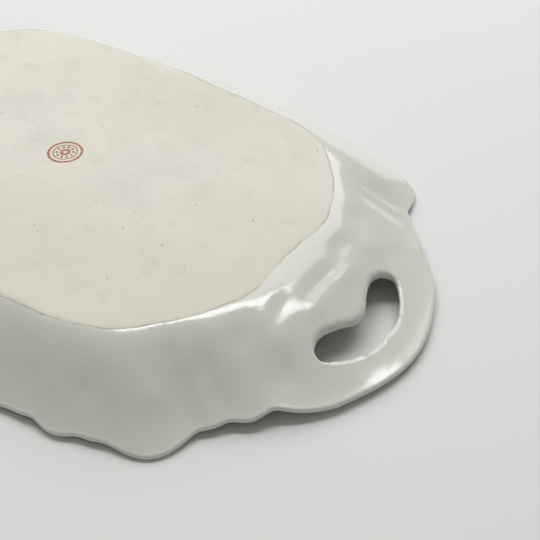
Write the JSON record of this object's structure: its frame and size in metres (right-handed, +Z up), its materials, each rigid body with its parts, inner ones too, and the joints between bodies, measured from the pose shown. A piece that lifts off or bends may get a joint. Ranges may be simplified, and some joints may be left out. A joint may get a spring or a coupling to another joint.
{
  "type": "platter with two pierced handles",
  "caption": "Shallow oblong porcelain platter with a moulded scalloped rim, a flat bare base and a pierced handle at each end, stored face down.",
  "frame": {"origin": "centre of the bounding box's bottom, on the table under the middle of the platter", "axes": "+X along the platter from handle to handle, +Y across it, +Z up, which is the outward normal of the base because the platter lies face down"},
  "size_m": [0.337, 0.215, 0.0237],
  "materials": {
    "clay_body": "matt unglazed biscuit porcelain",
    "back_glaze": "glossy clear glaze with a greenish cast",
    "face_glaze": "glossy clear glaze",
    "mark_pigment": "matt iron red pigment"
  },
  "bodies": {
    "root": {"porcelain_body": "clay_body", "back_glaze": "back_glaze", "face_glaze": "face_glaze", "back_mark": "mark_pigment"}
  },
  "joints": []
}
